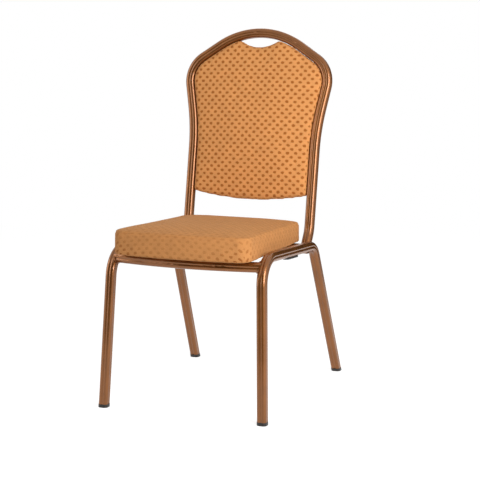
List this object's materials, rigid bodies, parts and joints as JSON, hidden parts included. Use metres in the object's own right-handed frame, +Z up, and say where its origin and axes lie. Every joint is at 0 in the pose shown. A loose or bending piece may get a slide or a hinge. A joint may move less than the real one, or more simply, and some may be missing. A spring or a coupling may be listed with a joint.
{
  "type": "stacking chair",
  "caption": "Upholstered stacking chair with a bell-shaped back, a boxed seat cushion and a welded frame of fluted square tube.",
  "frame": {"origin": "on the floor, under the middle of the chair's outer box", "axes": "+Z up, -Y the way the sitter faces, +X across the chair"},
  "size_m": [0.4486, 0.608, 0.927],
  "materials": {
    "frame": "gloss bronze powder coat on aluminium tube",
    "upholstery": "woven orange-tan upholstery with small brown dots",
    "foam": "moulded polyurethane foam",
    "plywood": "raw birch plywood",
    "dust_cover": "black non-woven lining",
    "fasteners": "zinc plated",
    "clips": "moulded nylon",
    "glides": "moulded nylon",
    "bumpers": "moulded rubber"
  },
  "bodies": {
    "root": {"left_side_frame": "frame", "right_side_frame": "frame", "back_hoop": "frame", "front_rail": "frame", "rear_rail": "frame", "frame_welds": "frame", "seat_tabs": "frame", "back_tabs": "frame", "seat_board": "plywood", "seat_foam": "foam", "seat_cover": "upholstery", "seat_dust_cover": "dust_cover", "seat_screws": "fasteners", "seat_tee_nuts": "fasteners", "back_front_board": "plywood", "back_front_foam": "foam", "back_front_cover": "upholstery", "back_rear_board": "plywood", "back_rear_foam": "foam", "back_rear_cover": "upholstery", "back_screws": "fasteners", "back_clips": "clips", "front_left_glide": "glides", "front_right_glide": "glides", "rear_left_glide": "glides", "rear_right_glide": "glides", "left_bumper": "bumpers", "right_bumper": "bumpers", "bumper_rivets": "fasteners"}
  },
  "joints": []
}
